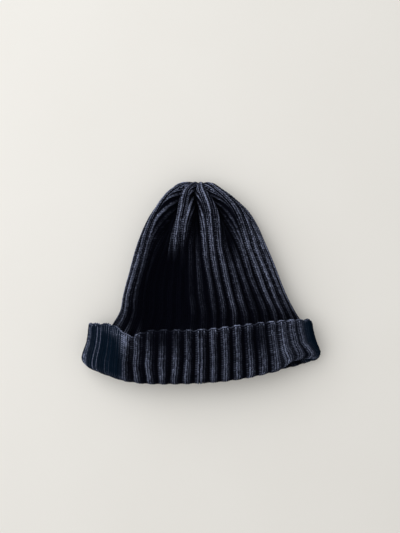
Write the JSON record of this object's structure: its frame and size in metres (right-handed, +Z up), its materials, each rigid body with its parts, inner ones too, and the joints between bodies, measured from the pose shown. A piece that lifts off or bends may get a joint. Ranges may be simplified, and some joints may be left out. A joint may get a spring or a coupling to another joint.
{
  "type": "knit hat",
  "caption": "Rib-knit cap with a turned-up cuff, lying flat on its back, gathered to a closed tip and open at the mouth.",
  "frame": {"origin": "middle of the footprint of the hat as it lies on its back, on the surface under it", "axes": "+Y from the mouth to the tip, +X across the mouth, +Z up from the surface to the front of the hat"},
  "size_m": [0.2268, 0.1904, 0.0379],
  "materials": {
    "crown_knit": "matt cotton rib knit, navy",
    "cuff_knit": "matt cotton rib knit, navy, inside out"
  },
  "bodies": {
    "root": {"crown": "crown_knit", "cuff": "cuff_knit"}
  },
  "joints": []
}
